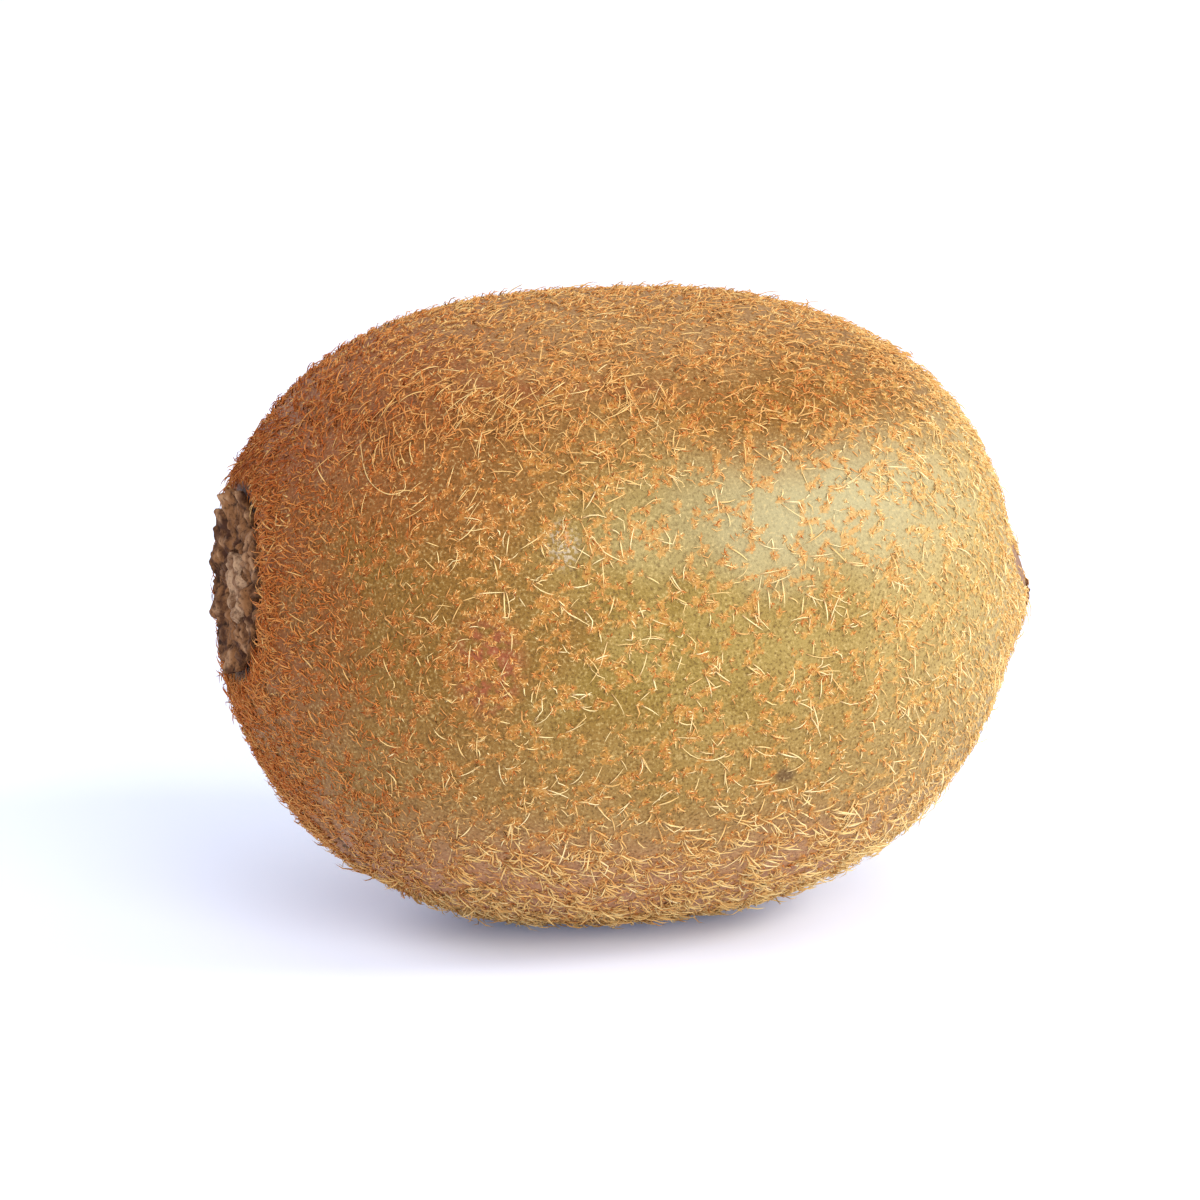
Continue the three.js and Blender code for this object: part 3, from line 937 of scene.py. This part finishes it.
def add_strays(name, material, stations=24, smoothings=6):
    """A few single hairs that curl in wide loops."""
    paths = []
    for passed in STRAY_HAIRS:
        passed = np.array(passed)
        share = np.linspace(0, 1, len(passed))
        fine = np.linspace(0, 1, stations)
        path = np.stack([np.interp(fine, share, passed[:, i]) for i in range(3)], 1)
        for _ in range(smoothings):
            path[1:-1] = (path[:-2] + path[1:-1] + path[2:]) / 3
        paths.append(path)
    paths = np.array(paths)
    count = len(paths)
    radii = tapered(np.full(count, 0.05), stations - 1, 0.5)
    piece = make_object(name, *tubes(paths, radii, np.full(count, 0.8)))
    return belongs(piece, material, "skin", "fruit")


def nearest_clump(points, roots, sizes):
    """How far each point is from the nearest clump, counted in that clump's own radius."""
    tree = kdtree.KDTree(len(roots))
    for i, root in enumerate(roots.tolist()):
        tree.insert(root, i)
    tree.balance()
    away = np.empty(len(points))
    for i, point in enumerate(points.tolist()):
        away[i] = min(near / sizes[k] for _, k, near in tree.find_n(point, 2))
    return np.minimum(away, 2.0)


def add_skin():
    """The fine skin, with a low pad under each clump of hairs, and the slit cut into it."""
    points, quads, faces, corners = skin_mesh()
    bare = Skin(points, quads)
    roots, normals = bare.scatter(CLUMPS, lambda x, y, z: clump_density(x, y, z) * clear_of_ends(x, y, z))
    sizes = rng.uniform(CLUMP_RADIUS[0], CLUMP_RADIUS[1], CLUMPS)
    away = nearest_clump(points, roots, sizes)
    outward = unit(points - (0, 0, CENTRE_HEIGHT))
    slit = SLIT_DEPTH * bell(off_line(points, *SLIT), SLIT_HALF_WIDTH)
    pads = PAD_HEIGHT * (1 - ramp(away, 0.3, 1.3)) * (points[:, 2] > 0.3)
    points += outward * (pads - slit)[:, None]
    piece = make_object("fine_skin", points, faces, corners)
    keep_values(piece, "clump", away)
    belongs(piece, skin_material(), "skin", "fruit")
    return Skin(points, quads, (roots + normals * PAD_HEIGHT, normals, sizes))


def sepal_reach(turn):
    """How far the torn sepals reach from the stalk's axis, all round. They reach furthest on the far side."""
    lobe = np.abs(np.cos(SEPALS * turn / 2)) ** 0.7
    torn = 0.22 * np.sin(13 * turn + 1) + 0.18 * np.sin(23 * turn)
    fine = 0.1 * np.sin(29 * turn + 2) + 0.05 * np.sin(67 * turn)
    reach = CALYX_WAIST + (CALYX_RADIUS - CALYX_WAIST) * lobe
    far_side = ramp(np.cos(turn), -0.3, 0.6)
    return reach + (CALYX_FAR_SIDE - reach) * far_side + torn + fine


def knobs(points, size):
    """Rounded lumps with sharp creases between them, from 0 in a crease to about 1 on a crest."""
    return np.minimum(2.2 * np.abs(noise_at(points, size)), 1.0)


def closed_ring(rings, columns):
    """Quads of a grid that also closes from its last ring to its first, with their (u, v)."""
    quads, uvs = grid_faces(rings, columns)
    column = np.arange(columns)
    after = (column + 1) % columns
    last = (rings - 1) * columns
    closing = np.stack([last + column, last + after, after, column], 1)
    u = np.stack([column, column + 1, column + 1, column], 1) / columns
    v = np.tile([SEPAL_SEAM_FROM, SEPAL_SEAM_FROM, 1.0, 1.0], (columns, 1))
    uvs[..., 1] *= SEPAL_MAP_TOP
    corners = np.vstack([uvs.reshape(-1, 2), np.stack([u, v], -1).reshape(-1, 2)])
    return np.vstack([quads, closing]), corners


def add_calyx(steps=260, rings=20):
    """A knobbly, torn crust of dead sepals round the stalk. Its crests carry painted highlights and its
    creases painted shade.
    """
    turn = np.arange(steps) * TURN / steps
    share = np.linspace(0, 1, rings)
    reach = CALYX_HOLE + (sepal_reach(turn) - CALYX_HOLE) * share[:, None]
    y = STEM_OFFSET[0] + reach * np.cos(turn)
    z = STEM_OFFSET[1] + reach * np.sin(turn)
    curl = 0.25 * (1 + 0.5 * np.sin(2 * turn + 0.6) + 0.3 * np.sin(9 * turn)) * share[:, None] ** 3
    thickness = SEPAL_THICKNESS + (SEPAL_EDGE - SEPAL_THICKNESS) * share[:, None]
    base = dish_floor(y, z) - GAP - curl
    top = np.stack([base - thickness, y, z], -1)
    under = np.stack([base, y, z], -1)[::-1]
    points = np.concatenate([top, under], 0).reshape(-1, 3)
    crest = 0.65 * knobs(points, 1.7) + 0.35 * knobs(points + 5, 0.8)
    on_top = np.arange(len(points)) < top[..., 0].size
    inward = 1 - 0.6 * np.concatenate([share, share[::-1]]).repeat(steps) ** 3
    points[:, 0] -= np.where(on_top, KNOB_HEIGHT * crest * inward, 0)
    points = raised(points)
    piece = make_object("dried_sepals", points, *closed_ring(2 * rings, steps))
    keep_values(piece, "crest", crest)
    # The last colour is the painted highlight on the crests.
    material = dry_material("dry_sepal", colour(76, 44, 26), colour(146, 98, 58), 1.9, colour(184, 138, 98))
    return belongs(piece, material, "dried_calyx", "calyx")


def turned_piece(name, section, waves, start, towards, rough, columns=72):
    """A lathe-turned, uneven lump with its axis along X. section is [(radius, height)] from axis to axis.

    waves are (count, size, phase) of the unevenness round it, and towards is the side that its top faces.
    """
    profile = np.array(section)
    fine = np.linspace(0, len(profile) - 1, 5 * (len(profile) - 1) + 1)
    radius = np.interp(fine, np.arange(len(profile)), profile[:, 0])[1:-1]
    height = np.interp(fine, np.arange(len(profile)), profile[:, 1])[1:-1]
    turn = np.arange(columns) * TURN / columns
    factor = 1 + sum(size * np.sin(count * turn + phase) for count, size, phase in waves)
    y = start[1] + radius[:, None] * factor * np.cos(turn)
    z = start[2] + radius[:, None] * factor * np.sin(turn)
    x = start[0] + towards * np.repeat(height[:, None], columns, 1)
    grid = np.stack([x, y, z], -1)
    rows = grid.shape[0]
    ends = [(start[0] + towards * profile[i, 1], start[1], start[2]) for i in (0, -1)]
    points = np.vstack([grid.reshape(-1, 3), ends])
    points += (rough * (noise_at(points, 0.5) + 2 * noise_at(points, 1.3)))[:, None] * (towards, 0.3, 0.3)
    faces = grid_faces(rows, columns)[0].tolist() + end_fans(rows, columns)
    if towards > 0:
        faces = [face[::-1] for face in faces]
    return make_object(name, points, faces)


def add_stub():
    """The broken end of the stalk, hollow in its middle."""
    section = [
        (0, 0), (2.5, 0), (2.8, 0.5), (2.75, 1.2), (2.3, 1.6),
        (1.7, 1.5), (1.1, 1.2), (0.5, 1.3), (0, 1.4),
    ]
    waves = [(3, 0.07, 0.4), (7, 0.05, 1), (19, 0.03, 2)]
    start = raised(np.array([[dish_floor(*STEM_OFFSET) - GAP, *STEM_OFFSET]]))[0]
    piece = turned_piece("stalk_end", section, waves, start, -1, STUB_ROUGHNESS)
    material = dry_material("dry_stalk", colour(124, 84, 54), colour(194, 154, 116), 1.5)
    return belongs(piece, material, "dried_stalk", "stalk_stub")


def add_styles(material):
    """A small dark knot at the blossom end, with short curled threads lying out of it."""
    start = raised(np.array([[button_top(*BUTTON_OFFSET) + KNOT_LIFT, *BUTTON_OFFSET]]))[0]
    section = [(0, 0), (0.8, 0), (0.95, 0.2), (0.8, 0.4), (0.55, 0.5), (0.3, 0.42), (0, 0.4)]
    knot = turned_piece("style_knot", section, [(7, 0.16, 0), (11, 0.08, 1)], start, 1, KNOT_ROUGHNESS)
    belongs(knot, material, "dried_style", "dried_styles")
    count, bands = STYLE_THREADS, 6
    angle = np.arange(count) * TURN / count + rng.normal(0, 0.12, count)
    out = np.stack([np.zeros(count), np.cos(angle), np.sin(angle)], 1)
    normals = np.tile([1.0, 0, 0], (count, 1))
    roots = start + out * 0.75 + (0.3, 0, 0)
    long = rng.uniform(0.5, 1.2, count)
    swerve = rng.normal(0, 0.8, count)
    rise, fall = np.full(count, 0.3), np.full(count, -1.1)
    spots = curved(roots, normals, out, long, rise, fall, swerve, np.zeros(count), bands)
    radii = tapered(rng.uniform(0.09, 0.15, count), bands, 0.4)
    threads = make_object("style_threads", *tubes(spots, radii, rng.uniform(0, 1, count)))
    return belongs(threads, material, "dried_style", "dried_styles")


def add_floor():
    """A pale table. It glows a little, as an overexposed one would, but less beside the fruit, which is a
    painted contact shadow.
    """
    square = np.array([[-1, -1, 0], [1, -1, 0], [1, 1, 0], [-1, 1, 0]])
    floor = make_object("floor", square * FLOOR_HALF_SIZE - (0, 0, FLOOR_DROP), [[0, 1, 2, 3]])
    g = Graph("white_table", {"Specular IOR Level": 0.1, "Roughness": 0.9, "Emission Strength": FLOOR_GLOW})
    at = g.places()[0]
    g.put(g.shader.inputs["Base Color"], g.mix(g.noise(at, 30), colour(218, 218, 220), colour(222, 222, 222)))
    # Painted contact shadow: the glow is dimmer and bluer near a line under the fruit.
    under = g.smooth(g.from_line(at, *SHADE), SHADE_FROM, SHADE_TO)
    g.put(g.shader.inputs["Emission Color"], g.mix(under, (0.62, 0.72, 1.0, 1.0), (0.17, 0.23, 0.38, 1.0)))
    floor.data.materials.append(g.material)


def look_from(azimuth, elevation, distance, target):
    """A matrix at distance from target, looking at it, with +X of the matrix level."""
    level = np.cos(elevation)
    back = Vector((np.sin(azimuth) * level, -np.cos(azimuth) * level, np.sin(elevation)))
    across = Vector((np.cos(azimuth), np.sin(azimuth), 0))
    up = back.cross(across)
    turn = Matrix((across, up, back)).transposed().to_4x4()
    return Matrix.Translation(Vector(target) * MM + back * distance * MM) @ turn


def add_camera():
    data = bpy.data.cameras.new("camera")
    data.angle = 2 * np.arctan(VIEW_WIDTH / 2 / CAMERA_DISTANCE)
    data.clip_start = 0.01
    camera = bpy.data.objects.new("camera", data)
    bpy.context.scene.collection.objects.link(camera)
    middle = look_from(CAMERA_AZIMUTH, CAMERA_ELEVATION, 0, (0, 0, 0)).to_3x3()
    aim = Vector((0, 0, CENTRE_HEIGHT)) + middle @ Vector((AIM_RIGHT, AIM_UP, 0))
    camera.matrix_world = look_from(CAMERA_AZIMUTH, CAMERA_ELEVATION, CAMERA_DISTANCE, aim)
    bpy.context.scene.camera = camera


def add_light(name, azimuth, elevation, size, power, tint):
    data = bpy.data.lights.new(name, "AREA")
    data.shape = "DISK"
    data.size = size * MM
    data.energy = power
    data.color = tint
    light = bpy.data.objects.new(name, data)
    bpy.context.scene.collection.objects.link(light)
    aim = (0, 0, CENTRE_HEIGHT)
    light.matrix_world = look_from(np.radians(azimuth), np.radians(elevation), LIGHT_DISTANCE, aim)


def add_lights():
    """A smaller, warm light from the right, a wide one from the front and a pale blue sky."""
    add_light("right_light", azimuth=65, elevation=33, size=250, power=3.2, tint=(1.0, 0.99, 0.96))
    add_light("front_light", azimuth=15, elevation=25, size=600, power=5.2, tint=(1.0, 1.0, 0.96))
    world = bpy.data.worlds.new("sky")
    world.use_nodes = True
    background = world.node_tree.nodes["Background"]
    background.inputs["Color"].default_value = (0.83, 0.87, 1.0, 1.0)
    background.inputs["Strength"].default_value = 1.13
    bpy.context.scene.world = world
    bpy.context.scene.view_settings.view_transform = "Standard"


add_camera()
add_lights()
add_floor()
skin = add_skin()
fuzz = hair_material()
add_fuzz(skin, fuzz)
add_calyx()
add_stub()
add_styles(dry_material("dry_style", colour(92, 58, 44), colour(166, 116, 84), 0.6))
